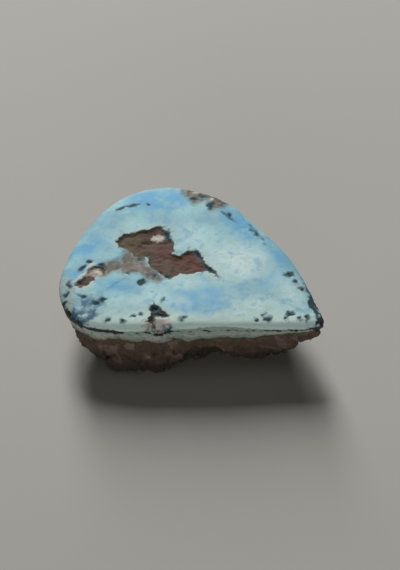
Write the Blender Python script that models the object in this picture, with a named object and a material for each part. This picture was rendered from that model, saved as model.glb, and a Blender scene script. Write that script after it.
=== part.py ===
"""Raw turquoise nugget: one natural stone, pear shaped from above.

Its upper face is sky-blue turquoise worn to a low, smooth dome with a crisp rim. Under the rim runs
a narrow weathered band, and below that the stone turns in to a rough, lumpy back of brown host rock.
The host rock also comes through the face in a few shallow hollows.

Units are metres, +Z is up and the stone rests on z = 0. The origin is under the middle of the stone,
+X points along its length to the narrow tip, and -Y is the side whose flank is nearly straight.
"""

import math

import bmesh
import bpy
import numpy as np
from mathutils import Matrix, Vector, noise
from mathutils.geometry import interpolate_bezier

MM = 0.001

# Heights above the resting plane
HEIGHT = 6.2 * MM
RIM_HEIGHT = 5.2 * MM
BAND_HEIGHT = 1.6 * MM

# The stone seen from above, going round anticlockwise from the tip, as x and y in millimetres
OUTLINE_MM = (
    (11.2, 0.4),
    (10.6, 1.2),
    (5.7, 5.1),
    (1.3, 7.3),
    (-3.4, 8.8),
    (-8.0, 8.1),
    (-10.7, 4.9),
    (-11.1, 0.1),
    (-9.6, -5.3),
    (-6.8, -8.5),
    (-3.2, -8.4),
    (2.6, -5.4),
    (7.1, -2.6),
    (10.5, -0.4),
)
HEART_MM = (-2.4, 0.1)
OUTLINE_STEPS = 40

# The dome is round about its own middle and takes the outline's shape only towards the rim
DOME_MIDDLE_MM = (-1.4, 0.2)
DOME_RADII_MM = (11.2, 8.9)
ROUND_POWER = 3
CROWN_POWER = 6
SHOULDER_POWER = 0.42
FACE_SWELL = 0.10 * MM
FACE_SWELL_SIZE = 5.0 * MM

# The back, as shares of the distance from the heart of the stone to its outline
BAND_REACH = 0.95
LEDGE_REACH = 0.89
FOOT_REACH = 0.66
UNDERCUT_POWER = 1.4
LEAN_POWER = 1.1

# Rough relief of the back: lumps with creases between them, and grain
LUMP_RISE = 1.0 * MM
LUMP_SIZE = 2.3 * MM
CREASE = 0.5
GRAIN_RISE = 0.35 * MM
GRAIN_SIZE = 1.2 * MM
DOWNWARD = 0.6

# Slow unevenness of the whole stone. Its noise needs a seed, or it differs from run to run.
WARP = 0.22 * MM
WARP_SIZE = 6.0 * MM
WARP_SEED = 3

# Single lumps of host rock on the back: x, y and z of the middle, radius and rise, in millimetres.
# A negative rise is a hollow.
LUMPS_MM = (
    (-6.3, -6.2, 1.9, 1.3, 1.0),
    (-4.4, -6.5, 1.5, 1.3, 0.9),
    (-2.6, -6.4, 0.9, 1.2, 1.1),
    (-0.6, -5.7, 0.6, 1.4, 1.3),
    (0.8, -4.9, 0.9, 1.0, 0.7),
    (3.4, -3.6, 0.7, 1.9, -1.0),
    (8.4, -1.6, 2.1, 0.9, 1.6),
    (3.6, 3.9, 1.2, 1.6, 0.9),
    (-1.2, 6.0, 0.8, 1.4, 1.0),
    (-5.4, 6.2, 1.4, 1.7, 1.0),
    (-9.4, 1.2, 1.6, 1.5, 0.8),
)

# Hollows where host rock shows in the face: x and y of the middle, length, width, turn and depth
HOLLOWS = (
    (-5.2, 1.4, 5.0, 2.8, 25, 0.26),
    (-1.7, -0.3, 4.6, 3.4, -30, 0.26),
    (-7.2, -3.6, 4.6, 1.4, 55, 0.18),
    (0.4, -6.2, 1.6, 1.8, 0, 0.30),
)
HOLLOW_SIDE = 0.4
HOLLOW_RAGGED = 0.25
SHOWS_ROCK = 0.1 * MM

# The mesh is a box of square cells, bent into the stone. Its relief starts under the rim.
FACE_CELLS = 36
BAND_RINGS = 3
BACK_RINGS = 11
ROUGH_RINGS = 5

TURQUOISE = (0.22, 0.50, 0.64, 1.0)
HOST_ROCK = (0.13, 0.075, 0.05, 1.0)


def clear_scene():
    for old in list(bpy.data.objects):
        bpy.data.objects.remove(old, do_unlink=True)


def stone_material(name, colour, roughness):
    material = bpy.data.materials.new(name)
    material.use_nodes = True
    shader = material.node_tree.nodes["Principled BSDF"]
    shader.inputs["Base Color"].default_value = colour
    shader.inputs["Roughness"].default_value = roughness
    shader.inputs["Metallic"].default_value = 0.0
    return material


def outline_curve():
    """The outline as a smooth closed curve of points, and the distance along it to each."""
    knots = [Vector((x, y, 0)) * MM for x, y in OUTLINE_MM]
    count = len(knots)
    slopes = [(knots[(i + 1) % count] - knots[i - 1]) / 6 for i in range(count)]
    points = []
    for i in range(count):
        end = (i + 1) % count
        handles = knots[i] + slopes[i], knots[end] - slopes[end]
        points += interpolate_bezier(knots[i], *handles, knots[end], OUTLINE_STEPS)[:-1]
    points = np.array([point.to_2d() for point in points + [knots[0]]])
    steps = np.linalg.norm(np.diff(points, axis=0), axis=1)
    return points, np.concatenate([[0], np.cumsum(steps)])


OUTLINE, ALONG = outline_curve()
HEART = Vector(HEART_MM) * MM


def outline_at(share):
    """The point this share of the way round the outline, from the tip."""
    return Vector([np.interp(share * ALONG[-1], ALONG, OUTLINE[:, axis]) for axis in (0, 1)])


def ease(share):
    share = min(max(share, 0.0), 1.0)
    return share * share * (3 - 2 * share)


def fractal(point, size):
    return noise.noise(point / size) + 0.5 * noise.noise(2.1 * point / size + Vector((7, 3, 1)))


def hollow_depth(x, y):
    """How deep the host rock lies below the face, at a place in metres."""
    ragged = HOLLOW_RAGGED * noise.noise(Vector((x, y, 0)) / MM)
    depth = 0.0
    for middle_x, middle_y, length, width, turn, deep in HOLLOWS:
        away = Vector((x / MM - middle_x, y / MM - middle_y))
        away.rotate(Matrix.Rotation(math.radians(-turn), 2))
        inside = 1 - math.hypot(away.x / (length / 2), away.y / (width / 2)) + ragged
        depth = max(depth, deep * MM * ease(inside / HOLLOW_SIDE))
    return depth


def dome_height(x, y, reach):
    """Height of the face, before its hollows."""
    middle_x, middle_y = DOME_MIDDLE_MM
    long_radius, short_radius = DOME_RADII_MM
    egg = math.hypot((x / MM - middle_x) / long_radius, (y / MM - middle_y) / short_radius)
    share = min(egg + (reach - egg) * reach**ROUND_POWER, 1.0)
    dome = (1 - share**CROWN_POWER) ** SHOULDER_POWER
    swell = FACE_SWELL * (1 - reach**ROUND_POWER) * fractal(Vector((x, y, 0)), FACE_SWELL_SIZE)
    return RIM_HEIGHT + (HEIGHT - RIM_HEIGHT) * dome + swell


def side_section(ring):
    """Reach and height of a ring below the rim: down the band, over the ledge, in to the foot."""
    if ring <= BAND_RINGS:
        share = ring / BAND_RINGS
        return 1 - (1 - BAND_REACH) * share, RIM_HEIGHT - BAND_HEIGHT * share
    share = (ring - BAND_RINGS) / BACK_RINGS
    reach = LEDGE_REACH + (FOOT_REACH - LEDGE_REACH) * share**UNDERCUT_POWER
    return reach, (RIM_HEIGHT - BAND_HEIGHT) * (1 - share) ** LEAN_POWER


def rough_back(point, outward, spread, amount):
    """The point moved out by the relief of the back. Towards the middle of the foot it moves down."""
    nearest_lump = noise.voronoi(point / LUMP_SIZE)[0][0]
    relief = LUMP_RISE * (CREASE - nearest_lump) + GRAIN_RISE * noise.noise(point / GRAIN_SIZE)
    away = (outward * spread - Vector((0, 0, DOWNWARD))).normalized()
    for x, y, z, radius, rise in LUMPS_MM:
        near = (point / MM - Vector((x, y, z))).length / radius
        relief += rise * MM * math.exp(-near * near)
    return point + away * relief * amount


def warped(point):
    """The point after the slow unevenness of the whole stone, with the foot worn flat."""
    shift = WARP * noise.noise_vector(point / WARP_SIZE)
    shift.z *= min(point.z / RIM_HEIGHT, 1.0)
    moved = point + shift
    moved.z = max(moved.z, 0.0)
    return moved


def shape_point(unit):
    """The point of the stone's surface for a point of the box, which runs from -1 to 1."""
    flat_x = unit.x * math.sqrt(1 - unit.y**2 / 2)
    flat_y = unit.y * math.sqrt(1 - unit.x**2 / 2)
    radius = min(math.hypot(flat_x, flat_y), 1.0)
    across = outline_at(math.atan2(flat_y, flat_x) / (2 * math.pi) % 1.0) - HEART
    outward = across.normalized().to_3d()
    ring = round((1 - unit.z) / 2 * (BAND_RINGS + BACK_RINGS))
    if ring == 0:
        place = HEART + across * radius
        height = dome_height(place.x, place.y, radius) - hollow_depth(place.x, place.y)
        return Vector((place.x, place.y, height))
    reach, height = side_section(ring)
    place = HEART + across * reach * radius
    amount = ease(ring / ROUGH_RINGS)
    return rough_back(Vector((place.x, place.y, height)), outward, radius**2, amount)


def subdivided_box():
    """A box of edge length 2 whose faces are grids of cells."""
    form = bmesh.new()
    bmesh.ops.create_cube(form, size=2.0)
    for axis, cells in ((0, FACE_CELLS), (1, FACE_CELLS), (2, BAND_RINGS + BACK_RINGS)):
        edges = [edge for edge in form.edges if abs(edge.verts[0].co[axis] - edge.verts[1].co[axis]) > 1]
        bmesh.ops.subdivide_edges(form, edges=edges, cuts=cells - 1, use_grid_fill=True)
    return form


def build_stone():
    noise.seed_set(WARP_SEED)
    form = subdivided_box()
    for vert in form.verts:
        vert.co = warped(shape_point(vert.co.copy()))
    corners = [[pick(vert.co[axis] for vert in form.verts) for axis in (0, 1)] for pick in (min, max)]
    middle = (Vector(corners[0]) + Vector(corners[1])) / 2
    bmesh.ops.translate(form, vec=-middle.to_3d(), verts=form.verts)
    for face in form.faces:
        centre = face.calc_center_median()
        low = centre.z < RIM_HEIGHT - BAND_HEIGHT
        sunk = centre.z > RIM_HEIGHT and hollow_depth(centre.x, centre.y) > SHOWS_ROCK
        face.material_index = int(low or sunk)
        face.smooth = True
    bmesh.ops.triangulate(form, faces=form.faces)
    mesh = bpy.data.meshes.new("turquoise_nugget")
    form.to_mesh(mesh)
    form.free()
    mesh.materials.append(stone_material("worn turquoise", TURQUOISE, 0.4))
    mesh.materials.append(stone_material("brown host rock", HOST_ROCK, 0.85))
    stone = bpy.data.objects.new("turquoise_nugget", mesh)
    bpy.context.scene.collection.objects.link(stone)
    return stone


clear_scene()
build_stone()
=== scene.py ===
import math

import bmesh
import bpy
import numpy as np
from mathutils import Matrix, Vector, kdtree, noise


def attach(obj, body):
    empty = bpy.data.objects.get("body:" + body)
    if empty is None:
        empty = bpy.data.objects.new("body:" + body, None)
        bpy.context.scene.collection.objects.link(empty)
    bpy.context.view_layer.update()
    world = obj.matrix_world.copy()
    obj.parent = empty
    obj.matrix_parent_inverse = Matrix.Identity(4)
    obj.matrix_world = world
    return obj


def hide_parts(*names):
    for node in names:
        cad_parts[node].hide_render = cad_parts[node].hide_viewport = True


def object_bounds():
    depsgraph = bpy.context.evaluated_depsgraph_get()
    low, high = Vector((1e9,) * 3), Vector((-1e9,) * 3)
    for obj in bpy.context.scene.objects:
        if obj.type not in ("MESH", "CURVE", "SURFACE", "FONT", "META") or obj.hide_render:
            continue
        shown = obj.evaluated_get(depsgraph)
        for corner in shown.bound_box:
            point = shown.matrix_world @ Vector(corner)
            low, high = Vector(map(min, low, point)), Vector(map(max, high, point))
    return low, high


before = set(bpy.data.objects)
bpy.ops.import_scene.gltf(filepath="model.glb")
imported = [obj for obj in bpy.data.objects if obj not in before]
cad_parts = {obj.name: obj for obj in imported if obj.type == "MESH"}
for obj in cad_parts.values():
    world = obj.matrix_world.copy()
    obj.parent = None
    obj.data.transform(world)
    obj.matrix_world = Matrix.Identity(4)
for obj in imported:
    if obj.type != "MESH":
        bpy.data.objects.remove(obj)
cad_box = [list(corner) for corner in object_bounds()]


# The stone: form
# One natural piece of turquoise on its brown host rock. The solid is taken in millimetres, its
# facets are rounded off and it is given an even skin, fine enough to carry the relief.
MM = 0.001
MERGE_WITHIN = 1e-6
SKIN_MM = 0.104

# The rim parts faces that face up from those of the band, which hardly do, and it stays crisp
BAND_UP = 0.12
RIM_LOWEST_MM = 4.4
RIM_CREASE = 0.8
RIM_SHARES = (0.1, 0.3, 0.5, 0.7, 0.9)

form = bmesh.new()
form.from_mesh(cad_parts["turquoise_nugget"].data)
bmesh.ops.remove_doubles(form, verts=form.verts, dist=MERGE_WITHIN)
bmesh.ops.scale(form, vec=(1 / MM,) * 3, verts=form.verts)
form.normal_update()


def on_rim(edge):
    """Whether an edge parts the worn face from the band."""
    ups = [side.normal.z for side in edge.link_faces]
    return min(ups) < BAND_UP < max(ups) and min(vert.co.z for vert in edge.verts) > RIM_LOWEST_MM


# Places all along the rim, to find the nearest one later
crease = form.edges.layers.float.new("crease_edge")
rim_edges = [edge for edge in form.edges if on_rim(edge)]
rim = kdtree.KDTree(len(rim_edges) * len(RIM_SHARES))
for edge in rim_edges:
    edge[crease] = RIM_CREASE
    for share in RIM_SHARES:
        rim.insert(edge.verts[0].co.lerp(edge.verts[1].co, share), edge.index)
rim.balance()

solid = bpy.data.meshes.new("turquoise_solid")
form.to_mesh(solid)
form.free()
stone = bpy.data.objects.new("turquoise_stone", solid)
bpy.context.scene.collection.objects.link(stone)
rounding = stone.modifiers.new("rounding", "SUBSURF")
rounding.levels = rounding.render_levels = 1
skin = stone.modifiers.new("skin", "REMESH")
skin.mode = "VOXEL"
skin.voxel_size = SKIN_MM
stone.data = bpy.data.meshes.new_from_object(stone.evaluated_get(bpy.context.evaluated_depsgraph_get()))
stone.modifiers.clear()
bpy.data.meshes.remove(solid)


def read(source, name):
    """Three numbers for each vertex, such as its place or its normal."""
    values = np.empty(len(source) * 3)
    source.foreach_get(name, values)
    return values.reshape(-1, 3)


points = read(stone.data.vertices, "co")
normals = read(stone.data.vertices, "normal")
count = len(points)


def ease(value, low, high):
    """0 below low, 1 above high, and smooth between them."""
    share = np.clip((value - low) / (high - low), 0, 1)
    return share * share * (3 - 2 * share)


def noise_at(size, shift):
    """Smooth noise of about -1 to 1 at every point, with humps this many millimetres across. The shift
    sets it apart from other noise."""
    away = Vector((shift, -shift, 2 * shift))
    return np.array([noise.noise(Vector(point) / size + away) for point in points])


# The noise that bends the cracks needs a seed, or it differs from run to run. Each facet draws its
# tilt and tone from a noise cell of its own, and these lie far apart.
CRACK_SEED = 5
CRACK_BEND = 0.3
BENDS_PER_FACET = 1.7
CELLS_APART = 17.3
noise.seed_set(CRACK_SEED)


def broken_at(size, shift):
    """Broken rock at every point: the height of tilted facets of this size, a tone for each facet
    and how far the nearest crack is, all as shares of the size."""
    tilts, tones, cracks = np.empty(count), np.empty(count), np.empty(count)
    away = Vector((shift, shift, shift))
    half = Vector((0.5, 0.5, 0.5))
    for number, point in enumerate(points):
        spot = Vector(point) / size + away
        spot += CRACK_BEND * noise.noise_vector(BENDS_PER_FACET * spot)
        distances, middles = noise.voronoi(spot)
        random = noise.cell_vector(middles[0] * CELLS_APART)
        tilts[number] = (spot - middles[0]).dot(random - half)
        tones[number] = random.x
        cracks[number] = distances[1] - distances[0]
    return tilts, tones, cracks


# Where every point lies: face is 1 on the worn face and 0 on the band and the back
FACE_FROM_UP = 0.15
FACE_FULL_UP = 0.45
FACE_FROM_MM = -0.5
FACE_FULL_MM = -0.3
nearest_rim = [rim.find(point) for point in points]
to_rim = np.array([found[2] for found in nearest_rim])
below_rim = np.array([found[0].z for found in nearest_rim]) - points[:, 2]
face = ease(normals[:, 2], FACE_FROM_UP, FACE_FULL_UP) * ease(-below_rim, FACE_FROM_MM, FACE_FULL_MM)


# The stone: where the host rock shows
# Turquoise filled veins and pockets in the host rock, so the two meet along ragged outlines.
# Each outline is seen from above, in millimetres, and the same noise breaks up all their edges.
BROWN_PATCH = (
    (-7.9, 0.0), (-7.7, 0.8), (-7.2, 1.3), (-6.8, 2.0), (-6.2, 2.4), (-5.7, 3.0), (-5.1, 3.0),
    (-4.5, 2.6), (-4.0, 2.2), (-3.4, 1.6), (-3.0, 0.8), (-2.4, 0.9), (-2.1, 1.7), (-1.4, 2.0),
    (-0.7, 1.6), (-0.4, 1.2), (0.1, 1.0), (0.7, 0.8), (1.5, 0.3), (0.5, 0.4), (0.0, 0.1),
    (-0.7, -0.6), (-1.4, -0.7), (-1.5, -1.6), (-2.0, -1.7), (-2.5, -1.5), (-3.8, -1.2), (-4.1, -0.8),
    (-4.9, -0.4), (-4.9, -1.0), (-5.7, -0.7), (-6.5, -0.4), (-7.4, -0.2),
)
LEFT_SEAM = (
    (-7.9, -4.2), (-7.6, -3.4), (-7.0, -2.8), (-6.6, -3.2), (-6.9, -4.1), (-6.7, -4.8), (-7.0, -5.4),
    (-7.5, -5.9), (-7.9, -5.6), (-7.7, -4.8),
)
NOTCH = (
    (-1.0, -5.5), (-1.0, -4.9), (-0.6, -4.9), (0.3, -5.2), (0.6, -5.5), (0.1, -5.9), (-0.3, -6.0),
    (0.1, -6.4), (-0.3, -6.8), (-0.6, -6.5), (-0.6, -6.0),
)
# Mottled rock, where turquoise and host rock mingle: below the brown patch, left of it and behind
MOTTLED_PATCHES = (
    (
        (-6.8, -0.5), (-5.7, -0.7), (-4.6, -1.0), (-3.7, -1.2), (-2.8, -1.4), (-1.9, -1.9),
        (-2.1, -2.6), (-2.9, -2.8), (-4.0, -2.3), (-5.2, -3.0), (-5.9, -2.6),
    ),
    (
        (-7.7, -3.2), (-7.4, -2.6), (-6.8, -1.9), (-6.4, -1.5), (-6.0, -1.9), (-5.4, -2.2),
        (-5.7, -3.0), (-6.0, -3.5), (-6.5, -4.1), (-7.3, -3.6),
    ),
    (
        (-7.2, 9.0), (-6.6, 7.6), (-5.6, 7.0), (-4.7, 6.7), (-4.2, 7.6), (-3.0, 6.6), (-2.4, 7.6),
        (-2.2, 9.0),
    ),
)
# Areas of colour: navy turquoise, the pale near edge and the weathered left end. The near edge is partly
# the stone's own pale green and partly painted light, made paler to brighten the shaded front slope.
NAVY_PATCH = (
    (-7.8, -6.7), (-6.6, -6.9), (-5.0, -6.2), (-4.2, -7.2), (-4.4, -8.5), (-5.7, -9.2), (-6.8, -8.8),
    (-6.8, -7.9),
)
NEAR_EDGE = (
    (-7.0, -8.3), (-3.4, -7.2), (2.4, -4.3), (6.9, -1.6), (10.0, 0.3), (11.6, 0.4), (7.5, -3.8),
    (2.8, -6.8), (-3.0, -9.6),
)
LEFT_END = (
    (-8.3, -5.1), (-7.5, -6.1), (-6.7, -6.9), (-6.2, -8.6), (-8.5, -9.0), (-10.0, -6.0), (-9.4, -4.6),
)
# Ellipses: x and y of the middle, length, width and turn in degrees. First pale grains and dark pits.
PALE_GRAINS = (
    (-8.0, -3.3, 1.1, 0.5, 80), (-7.2, -3.7, 1.0, 0.7, 40), (-5.2, 1.9, 1.3, 0.8, 25),
    (-7.95, -4.5, 1.2, 0.5, 75), (0.55, -6.1, 1.3, 0.9, 30), (-0.3, -6.9, 0.7, 0.5, 28),
    (-6.0, -6.2, 0.45, 0.35, 0), (-5.6, 8.1, 0.6, 0.4, 0), (-4.0, 7.9, 0.5, 0.5, 0),
    (-7.1, -3.0, 0.4, 0.3, 0),
)
DARK_PITS = (
    (-8.3, -3.0, 0.45, 0.4, 30), (-8.4, -3.8, 0.4, 0.7, 10), (-8.2, -6.0, 0.8, 0.4, -30),
    (-7.9, -7.0, 0.4, 0.5, 0), (-7.5, -7.8, 0.4, 0.6, 20), (-5.0, -6.2, 0.7, 0.5, 20),
    (-5.3, -6.8, 0.5, 0.6, 10), (-6.5, -6.6, 0.6, 0.35, 0), (-3.3, -3.1, 0.75, 0.75, 0),
    (-4.9, -2.7, 0.4, 0.35, 0), (-2.9, -2.1, 0.3, 0.3, 0), (-7.3, -2.9, 0.45, 0.3, 30),
    (-2.0, -1.5, 0.7, 0.5, 0), (-4.5, 2.6, 1.2, 0.3, -45), (-1.3, 1.8, 0.9, 0.3, -20),
    (0.6, 0.7, 1.3, 0.22, -24), (-0.6, -4.1, 0.3, 0.45, 0), (-4.9, -0.8, 0.5, 0.3, 0),
    (-3.4, -7.8, 0.4, 0.4, 0), (-2.3, -7.4, 0.35, 0.4, 0), (-1.7, -6.7, 0.3, 0.35, 0),
    (-1.3, -6.3, 0.25, 0.3, 0), (1.7, -5.1, 0.3, 0.35, 0), (6.3, 3.3, 0.5, 0.45, 0),
    (7.1, 2.9, 0.4, 0.3, -20), (7.9, 2.5, 0.35, 0.35, 0), (6.7, -2.2, 0.35, 0.35, 0),
    (7.4, -1.7, 0.45, 0.35, -40), (6.9, -1.5, 0.25, 0.25, 0), (8.6, -0.5, 0.55, 0.45, 30),
    (8.5, -1.0, 0.25, 0.25, 0), (9.9, -0.2, 0.45, 0.4, 0), (9.4, -0.6, 0.25, 0.25, 0),
    (-5.2, 7.3, 0.6, 0.35, 20), (-3.5, 7.2, 0.4, 0.9, 20), (-4.8, 8.1, 0.6, 0.3, 10),
    (-9.6, 3.5, 0.25, 0.9, -35), (-9.0, 4.3, 0.25, 0.8, -35), (-8.0, 4.9, 0.3, 0.3, 0),
    (9.7, 1.35, 3.4, 0.55, -44), (8.2, 2.9, 1.4, 0.22, -44), (-1.6, 6.9, 1.2, 0.22, -25),
    (1.4, 6.2, 1.8, 0.2, -30), (-0.1, -5.6, 1.0, 0.4, 20), (-0.7, -5.2, 0.8, 0.6, 30),
    (0.7, -6.5, 1.5, 0.45, 28),
)
# Then the chalky and the dense areas of the turquoise, and the red and olive ones of the host rock
PALE_SPOTS = (
    (1.7, 2.3, 7.5, 4.6, 10), (-2.8, 3.4, 4.0, 1.8, -15), (7.5, 1.6, 5.0, 3.0, -30),
    (6.5, -1.0, 8.0, 3.2, 25), (-1.9, -6.1, 6.6, 1.6, 22), (2.2, -5.0, 6.0, 1.4, 28),
    (0.0, -1.6, 2.2, 1.6, 0), (-8.1, 1.2, 1.6, 1.2, 40), (-2.2, -5.2, 3.0, 2.0, 20),
    (0.6, -3.6, 1.8, 1.4, 0),
)
DEEP_SPOTS = (
    (1.8, -3.0, 4.7, 3.9, 36), (5.7, 2.2, 2.6, 2.2, 36), (-0.1, 6.3, 5.4, 1.8, -28),
    (-7.6, 5.9, 5.0, 3.0, 30), (-9.5, -1.6, 2.8, 1.8, 60), (-4.6, -4.6, 3.4, 1.6, 10),
    (-8.3, -4.8, 1.4, 2.0, 0), (4.6, 4.2, 4.0, 1.4, -40),
)
RED_SPOTS = ((-1.6, 0.7, 3.2, 1.8, 5), (-3.9, 0.8, 1.4, 1.0, -40))
OLIVE_SPOTS = ((-7.1, 0.6, 2.4, 1.8, 30), (-5.5, -0.2, 2.6, 1.2, 0), (-6.2, -2.5, 1.6, 1.0, 30))
# Black seam along the rim: x and y of the middle of each stretch, its reach and its thickness
RIM_SEAM = (
    (-6.6, -8.3, 2.2, 0.40), (-8.8, -6.6, 2.0, 0.34), (-3.2, -8.3, 2.2, 0.22), (0.6, -6.6, 1.2, 0.24),
    (4.5, -4.3, 3.0, 0.07), (8.5, -1.8, 2.6, 0.12), (11.1, 0.3, 1.1, 0.42), (9.4, 1.9, 1.7, 0.36),
    (4.6, 5.8, 3.2, 0.14), (-10.9, -1.2, 2.4, 0.20), (-9.2, 6.8, 2.4, 0.12),
)
SEAM_BELOW_RIM_MM = 0.1
SEAM_WITHIN_MM = 0.8
SEAM_THINNED_MM = 0.04

# The noise that breaks up the edges: its size and how far it shifts them
RAGGED_MM = ((0.9, 0.24), (0.35, 0.14), (0.18, 0.06))
ragged = points[:, :2].copy()
for size, reach in RAGGED_MM:
    ragged += reach * np.column_stack([noise_at(size, shift) for shift in (3, 11)])


def inside(outline):
    """How far inside a closed outline every point lies, in millimetres. Outside it is negative."""
    within = np.zeros(count, bool)
    nearest = np.full(count, np.inf)
    corners = np.array(outline, float)
    for start, end in zip(corners, np.roll(corners, -1, axis=0)):
        side = end - start
        away = ragged - start
        along = np.clip(away @ side / (side @ side), 0, 1)
        nearest = np.minimum(nearest, np.linalg.norm(away - along[:, None] * side, axis=1))
        if side[1]:
            share = away[:, 1] / side[1]
            within ^= (share >= 0) & (share < 1) & (away[:, 0] < share * side[0])
    return np.where(within, nearest, -nearest)


def inside_any(outlines):
    """How far inside the nearest of these outlines every point lies, in millimetres."""
    return np.maximum.reduce([inside(outline) for outline in outlines])


def inside_spots(spots):
    """How far inside the nearest of these ellipses every point lies, in millimetres."""
    best = np.full(count, -np.inf)
    for x, y, length, width, turn in spots:
        angle = math.radians(turn)
        along = (ragged - (x, y)) @ (math.cos(angle), math.sin(angle))
        across = (ragged - (x, y)) @ (-math.sin(angle), math.cos(angle))
        best = np.maximum(best, (1 - np.hypot(along / length, across / width) * 2) * min(length, width) / 2)
    return best


# Patterns of the rock itself, each by its size in millimetres
facets, tone, cracks = broken_at(1.0, 0)
chips, chip_tone, _ = broken_at(0.45, 5)
humps = noise_at(0.9, 61)
slow = noise_at(1.6, 21)
fine = noise_at(0.5, 33)
grit = noise_at(0.24, 41)

# The weathered band under the rim is uneven, and narrows towards the tip
BAND_MM = 1.3
BAND_LOST_AT_TIP = 0.65
TIP_FROM_MM = 4
TIP_TO_MM = 10.5
narrowed = 1 - BAND_LOST_AT_TIP * ease(points[:, 0], TIP_FROM_MM, TIP_TO_MM)
band_foot = (BAND_MM + 0.3 * slow + 0.15 * fine) * narrowed

# Below the band all is host rock, but for specks where a vein comes near the surface
VEIN_MM = 2.8
VEIN_STARTS = 0.795
VEIN_STEEP = 1.6
from_vein = VEIN_STEEP * (VEIN_STARTS - noise_at(VEIN_MM, 55)) - 0.3 * fine
in_patch = inside_any((BROWN_PATCH, LEFT_SEAM, NOTCH))
rock = np.clip(np.where(face > 0.5, in_patch, np.minimum(below_rim - band_foot, from_vein)), -1, 1)
mottled = inside_any(MOTTLED_PATCHES)
grains = np.where(face > 0.2, inside_spots(PALE_GRAINS), -1)
pits = np.where(face > 0.2, inside_spots(DARK_PITS), -1)

thickness = np.zeros(count)
for x, y, reach, thick in RIM_SEAM:
    away = np.hypot(points[:, 0] - x, points[:, 1] - y) / reach
    thickness = np.maximum(thickness, thick * np.exp(-away * away))
thickness = thickness * (1 + 1.1 * fine + 0.5 * grit) - SEAM_THINNED_MM
seam = np.where(to_rim < SEAM_WITHIN_MM, thickness - np.abs(below_rim - SEAM_BELOW_RIM_MM), -1)


# The stone: relief
# The face is worn smooth by tumbling and only the softer host rock lies lower in it. The back is as
# it broke from the vein: tilted facets with cracks between them, and grit on top.
FACE_LOWERED = 0.22
SHOULDER_MM = 0.95
SHOULDER_FILL = 0.7

# The face stays nearly level almost to the rim: it is lowered by a share of its rise, and its
# shoulder is filled out, most a third of the way up
up = np.clip(-below_rim / SHOULDER_MM, 0, 1)
squared = (SHOULDER_FILL * up * (1 - up) ** 2 - FACE_LOWERED * np.maximum(-below_rim, 0)) * face
crown = points[:, 2] + squared

# The worn surface is the smooth one through the face outside its hollows. The solid's soft hollows are
# filled up to it, and each patch of host rock is cut into it again with a broken edge.
WORN_DEGREE = 6
WORN_SPAN_MM = 12
FILLED_MOST_MM = 0.35
terms = [(a, b) for a in range(WORN_DEGREE + 1) for b in range(WORN_DEGREE + 1 - a)]
across, along = (points[:, :2] / WORN_SPAN_MM).T
bends = np.column_stack([across**a * along**b for a, b in terms])
sound = (face > 0.9) & (to_rim > 0.5) & (np.maximum(rock, mottled) < -0.5)
worn_face = bends @ np.linalg.lstsq(bends[sound], crown[sound], rcond=None)[0]
filled = np.clip(worn_face - crown, 0, FILLED_MOST_MM) * ease(to_rim, 0.5, 1.2)

# How much each kind of surface has of each pattern, and how deep each thing is cut, in millimetres
heights = {"facets": facets, "chips": chips, "humps": humps, "slow": slow, "fine": fine, "grit": grit}
WORN_MM = {"slow": 0.012, "fine": 0.006}
PATCH_MM = {"facets": 0.16, "chips": 0.10, "fine": 0.05, "grit": 0.03}
WEATHERED_MM = {"humps": 0.05, "chips": 0.05, "grit": 0.02, "slow": 0.06}
BACK_MM = {"facets": 0.55, "chips": 0.26, "slow": 0.10, "grit": 0.05}
PATCH_DEEP_MM = 0.17
MOTTLED_DEEP_MM = 0.05
PIT_DEEP_MM = 0.07
GRAIN_HIGH_MM = 0.03
BAND_DEEP_MM = 0.03
BACK_DEEP_MM = 0.04
CRACK_DEEP_MM = 0.10
CRACK_WIDE = 0.16
SEAM_DEEP_MM = 0.05


def uneven(amounts):
    """The relief of these amounts of the patterns at every point, in millimetres."""
    return sum(amount * heights[name] for name, amount in amounts.items())


on_face = uneven(WORN_MM) + ease(rock, -0.03, 0.16) * (uneven(PATCH_MM) - PATCH_DEEP_MM)
on_face -= MOTTLED_DEEP_MM * ease(mottled, -0.1, 0.3) * (0.6 + fine)
on_face += GRAIN_HIGH_MM * ease(grains, -0.05, 0.2) - PIT_DEEP_MM * ease(pits, -0.06, 0.15)
band = uneven(WEATHERED_MM) - BAND_DEEP_MM
back = uneven(BACK_MM) - BACK_DEEP_MM - CRACK_DEEP_MM * (1 - ease(cracks, 0, CRACK_WIDE))
broken = ease(rock, -0.1, 0.2)
off_face = band * (1 - broken) + back * broken - SEAM_DEEP_MM * ease(seam, -0.05, 0.1)
relief = on_face * face + off_face * (1 - face)
moved = points + normals * relief[:, None]
moved[:, 2] += squared + filled * face
low, high = [np.array(corner) / MM for corner in cad_box]
stone.data.vertices.foreach_set("co", (np.clip(moved, low, high) * MM).ravel())
stone.data.update()
stone.data.shade_smooth()

# What the material reads at every point: mostly how far inside something it is, in millimetres
measures = {
    "host_rock": rock,
    "mottled": np.where(face > 0.3, mottled, -1),
    "pale_grain": grains,
    "pits": pits,
    "seam": seam,
    "near_edge": np.where(face > 0.1, inside(NEAR_EDGE), -1),
    "navy": np.where(face > 0.3, inside(NAVY_PATCH), -1),
    "pale": inside_spots(PALE_SPOTS),
    "deep": inside_spots(DEEP_SPOTS),
    "red": inside_spots(RED_SPOTS),
    "olive": inside_spots(OLIVE_SPOTS),
    "weathered": np.maximum(1 - face, 0.55 * ease(inside(LEFT_END), -0.3, 0.3)),
    "down_band": np.where(face < 0.9, below_rim / band_foot, 0),
    "along": points[:, 0] + slow,
    "tone": tone + 0.25 * slow + 0.2 * (chip_tone - 0.5),
    # The relief also sets painted shade: darker in the low cracks and hollows
    "height": relief,
    # The height above the foot sets painted shade: darker towards the foot
    "above_foot": points[:, 2] + 0.5 * slow,
}
for name, values in measures.items():
    stored = stone.data.attributes.new(name, "FLOAT", "POINT")
    stored.data.foreach_set("value", np.asarray(values, np.float32))


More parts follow.
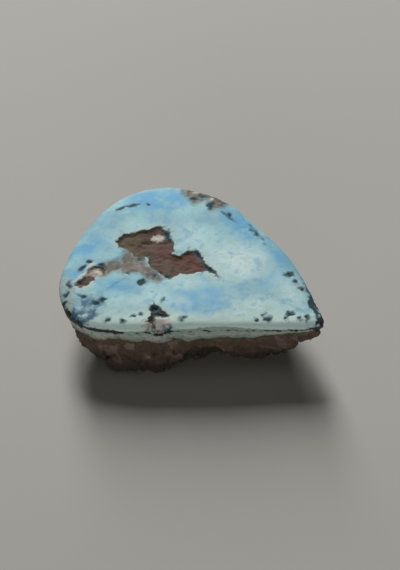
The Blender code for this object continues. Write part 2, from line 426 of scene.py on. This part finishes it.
# The stone: finish
# Turquoise is an opaque, fine-grained copper mineral that takes a waxy polish: broad, soft lights
# and no sharp ones. Its colour is clouded, blue where dense and greenish white where chalky.
TURQUOISE_IOR = 1.61
WAXY = 0.66
EARTHY = 0.88
GRAIN_BUMP_MM = 0.03


def linear(code):
    """A linear colour from an sRGB hex value."""
    parts = [int(code[place : place + 2], 16) / 255 for place in (1, 3, 5)]
    return [part / 12.92 if part <= 0.04045 else ((part + 0.055) / 1.055) ** 2.4 for part in parts] + [1]


material = bpy.data.materials.new("tumbled turquoise in limonite host rock")
material.use_nodes = True
tree = material.node_tree
shader = tree.nodes["Principled BSDF"]
shader.inputs["IOR"].default_value = TURQUOISE_IOR


def node(kind, inputs, **settings):
    """Adds a shader node with its settings, and sets or links its inputs."""
    made = tree.nodes.new("ShaderNode" + kind)
    for name, value in settings.items():
        setattr(made, name, value)
    for socket, value in inputs.items():
        if isinstance(value, bpy.types.NodeSocket):
            tree.links.new(value, made.inputs[socket])
        else:
            made.inputs[socket].default_value = value
    return made


# Sizes of the stone's own patterns. Its real grain is too fine to see, so it is drawn coarser.
PATTERN_MM = {"clouds": 3.2, "mottling": 0.9, "flecks": 0.35, "grain": 0.16}
place = node("TexCoord", {}).outputs["Object"]
field = {name: node("Attribute", {}, attribute_name=name).outputs["Fac"] for name in measures}
pattern = {
    name: node("TexNoise", {"Vector": place, "Scale": 1 / (size * MM), "Detail": 3.0}).outputs["Fac"]
    for name, size in PATTERN_MM.items()
}


def mask(source, low, high, jitter=0.0, by="flecks", most=1.0):
    """0 below low and most above high, after this much of a pattern is added."""
    shaken = node("Math", {0: pattern[by], 1: jitter, 2: -jitter / 2}, operation="MULTIPLY_ADD").outputs[0]
    total = node("Math", {0: source, 1: shaken}, operation="ADD").outputs[0]
    limits = {"Value": total, "From Min": low, "From Max": high, "To Max": most}
    return node("MapRange", limits, clamp=True).outputs[0]


def layered(colour, layers):
    """A colour with others laid over it, each by its mask. A Mix node takes its colours in sockets 6
    and 7 and gives their mix in output 2."""
    for share, over in layers:
        over = linear(over) if isinstance(over, str) else over
        colour = node("Mix", {0: share, 6: colour, 7: over}, data_type="RGBA").outputs[2]
    return colour


in_clouds = mask(pattern["mottling"], 0.42, 0.56)
in_flecks = mask(pattern["flecks"], 0.45, 0.7)
turquoise = layered(
    linear("#82BED0"),
    (
        # Light clouds, the dense blue, then the chalky areas and their whitest flecks
        (mask(pattern["clouds"], 0.42, 0.62, 0.4, "mottling"), "#98D6E0"),
        (mask(field["deep"], -0.3, 0.5, 0.8, "mottling"), "#4CAEDE"),
        (mask(field["pale"], -1.0, 1.8, 3.2, "clouds"), "#D2F4F2"),
        (mask(field["pale"], 0.0, 2.2, 2.6, "mottling", most=in_flecks), "#E6F0EA"),
        # A greenish halo round the host rock, then mottling and flecks all over
        (mask(field["host_rock"], -0.7, -0.1, 0.9, "mottling", most=0.75), "#C0DCD0"),
        (mask(pattern["mottling"], 0.5, 0.68, most=0.55), "#9CD0CA"),
        (mask(pattern["mottling"], 0.46, 0.34, most=0.5), "#64B0CC"),
        (mask(pattern["flecks"], 0.56, 0.7, most=0.25), "#62A4BC"),
        # The near edge, partly its own pale green and partly painted light on the front slope, and the navy
        # patch
        (mask(field["near_edge"], -0.5, 0.5, 1.0, "mottling", most=0.95), "#E0FCF2"),
        (mask(field["navy"], -0.3, 0.4, 1.0, "mottling", most=in_clouds), "#35708F"),
    ),
)

in_left_half = mask(field["along"], 2.0, -1.0)
in_right_half = mask(field["along"], 2.5, 4.5)
weathered = layered(
    linear("#A8B6AC"),
    (
        # Paler, then greyer down the band, with dark flecks and traces of blue
        (mask(field["down_band"], 0.1, 0.5, 0.5, "mottling"), "#BCC6BA"),
        (mask(field["down_band"], 0.5, 0.8, 0.5, "mottling"), "#929C8C"),
        (mask(pattern["flecks"], 0.53, 0.65, most=0.6), "#66726A"),
        (mask(pattern["mottling"], 0.5, 0.62, most=0.6), "#8FB2B4"),
        # Its foot is stained, ochre on the left and dark brown on the right
        (mask(field["down_band"], 0.82, 0.95, 0.25, most=in_left_half), "#8D7A45"),
        (mask(field["down_band"], 0.85, 0.95, 0.25, most=in_right_half), "#3C3127"),
    ),
)

off_the_face = mask(field["weathered"], 0.4, 0.6)
host_rock = layered(
    linear("#5A493D"),
    (
        # Facets of other tones, the palest and the olive ones only off the face
        (mask(field["tone"], 0.1, 0.9, 0.5, most=0.6), "#72594C"),
        (mask(field["tone"], 0.75, 1.1, 0.9, "mottling", most=off_the_face), "#8C796E"),
        (mask(field["tone"], 0.15, 0.0, 0.2, most=off_the_face), "#6E6146"),
        # Red and olive areas of the brown patch, then painted shade in the deep cracks and towards the foot
        (mask(field["red"], -0.3, 0.5, 0.8, "mottling"), "#70483A"),
        (mask(field["olive"], -0.2, 0.4, 0.8, "mottling"), "#6C5E45"),
        # Painted shade: the lowest parts of the relief, the cracks and hollows, are darkened
        (mask(field["height"], -0.25, -0.5, 0.1), "#17120F"),
        # Painted shade: the rock is darkened towards the foot, where the stone's overhang shades it
        (mask(field["above_foot"], 2.1, 0.8, 0.8, "mottling", most=0.75), "#1C1612"),
    ),
)

tan_rock = layered(
    linear("#574D36"),
    (
        # Tan and dark brown mottling, then dark flecks and flecks of turquoise
        (mask(pattern["mottling"], 0.52, 0.66, 0.2, most=0.6), "#968A78"),
        (mask(pattern["mottling"], 0.48, 0.38, 0.2), "#40331F"),
        (mask(pattern["flecks"], 0.54, 0.66, most=0.6), "#3A3424"),
        (mask(pattern["flecks"], 0.45, 0.36, most=0.5), "#86A698"),
    ),
)

pitted = mask(field["pits"], -0.1, 0.1, 0.35)
colour = layered(
    turquoise,
    (
        (mask(field["weathered"], 0.4, 0.6, 0.8, "mottling"), weathered),
        (mask(field["mottled"], -0.25, 0.3, 0.9, "mottling"), tan_rock),
        # Host rock with a dark olive edge, and the pale grains in it
        (mask(field["host_rock"], -0.14, -0.02, 0.6), "#4C4734"),
        (mask(field["host_rock"], 0.0, 0.1, 0.6), host_rock),
        (mask(field["pale_grain"], -0.05, 0.15, 0.6, most=0.9), "#E4DCD0"),
        # Pits with a stained edge, and the black seam along the rim
        (mask(field["pits"], -0.2, 0.08, 0.7, most=0.6), "#4A7E88"),
        (pitted, "#1C444B"),
        (mask(field["seam"], -0.05, 0.05, 0.4), "#222725"),
    ),
)
tree.links.new(colour, shader.inputs["Base Color"])

# Host rock and the inside of the pits are earthy and dull
earthy = mask(field["host_rock"], -0.05, 0.05, 0.1)
dull = node("Math", {0: earthy, 1: pitted}, operation="MAXIMUM").outputs[0]
roughness = node("MapRange", {"Value": dull, "To Min": WAXY, "To Max": EARTHY}).outputs[0]
tree.links.new(roughness, shader.inputs["Roughness"])
bump = node("Bump", {"Height": pattern["grain"], "Distance": GRAIN_BUMP_MM * MM, "Strength": 0.5})
tree.links.new(bump.outputs[0], shader.inputs["Normal"])

stone.data.materials.clear()
stone.data.materials.append(material)
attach(stone, "root")
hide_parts("turquoise_nugget")


# The floor and the light
# A plain pale floor of matt paint. A tall soft light stands behind the stone, so that its shadow falls
# towards the viewer, and two weak ones and an even glow fill the shade.
FLOOR_WIDTH = 1.2
MATT = 0.8
GLOW = 0.01
bpy.ops.mesh.primitive_plane_add(size=FLOOR_WIDTH)
floor = bpy.context.object
floor.name = "floor"
paint = bpy.data.materials.new("matt grey paint")
paint.use_nodes = True
paint.node_tree.nodes["Principled BSDF"].inputs["Base Color"].default_value = linear("#C2BFB8")
paint.node_tree.nodes["Principled BSDF"].inputs["Roughness"].default_value = MATT
floor.data.materials.append(paint)

world = bpy.data.worlds.new("studio")
world.use_nodes = True
world.node_tree.nodes["Background"].inputs["Color"].default_value = linear("#FFFFFF")
world.node_tree.nodes["Background"].inputs["Strength"].default_value = GLOW
bpy.context.scene.world = world

# Each light: its bearing from the front and its height in degrees, its distance, width and length in
# metres, and its power in watts
LIGHTS = {
    "tall soft light behind": (222, 38, 0.5, 0.13, 0.46, 2.5),
    "fill overhead": (30, 80, 0.5, 0.25, 0.25, 0.08),
    "low fill in front": (25, 8, 0.5, 0.30, 0.10, 0.52),
}
for name, (bearing, height, distance, width, length, power) in LIGHTS.items():
    turn = Matrix.Rotation(math.radians(bearing), 3, "Z") @ Matrix.Rotation(-math.radians(height), 3, "X")
    toward = turn @ Vector((0, -1, 0))
    lamp = bpy.data.lights.new(name, "AREA")
    lamp.shape = "RECTANGLE"
    lamp.size = width
    lamp.size_y = length
    lamp.energy = power
    light = bpy.data.objects.new(name, lamp)
    light.location = toward * distance
    light.rotation_euler = toward.to_track_quat("Z", "Y").to_euler()
    bpy.context.scene.collection.objects.link(light)
bpy.context.scene.view_settings.view_transform = "Standard"


# The camera
# It looks down on the stone from in front and to the right, a little tilted, from as far away as
# the photograph was taken. A longer lens brings the stone close.
CAMERA_AT = Vector((0.0972, -0.1348, 0.15475))
LOOKS_AT = Vector((0.0, 0.0, 0.00465))
CAMERA_LEAN = math.radians(4.8)
LENS_MM = 180
lens = bpy.data.cameras.new("camera")
lens.lens = LENS_MM
camera = bpy.data.objects.new("camera", lens)
camera.location = CAMERA_AT
turned = (CAMERA_AT - LOOKS_AT).to_track_quat("Z", "Y").to_matrix() @ Matrix.Rotation(-CAMERA_LEAN, 3, "Z")
camera.rotation_euler = turned.to_euler()
bpy.context.scene.collection.objects.link(camera)
bpy.context.scene.camera = camera
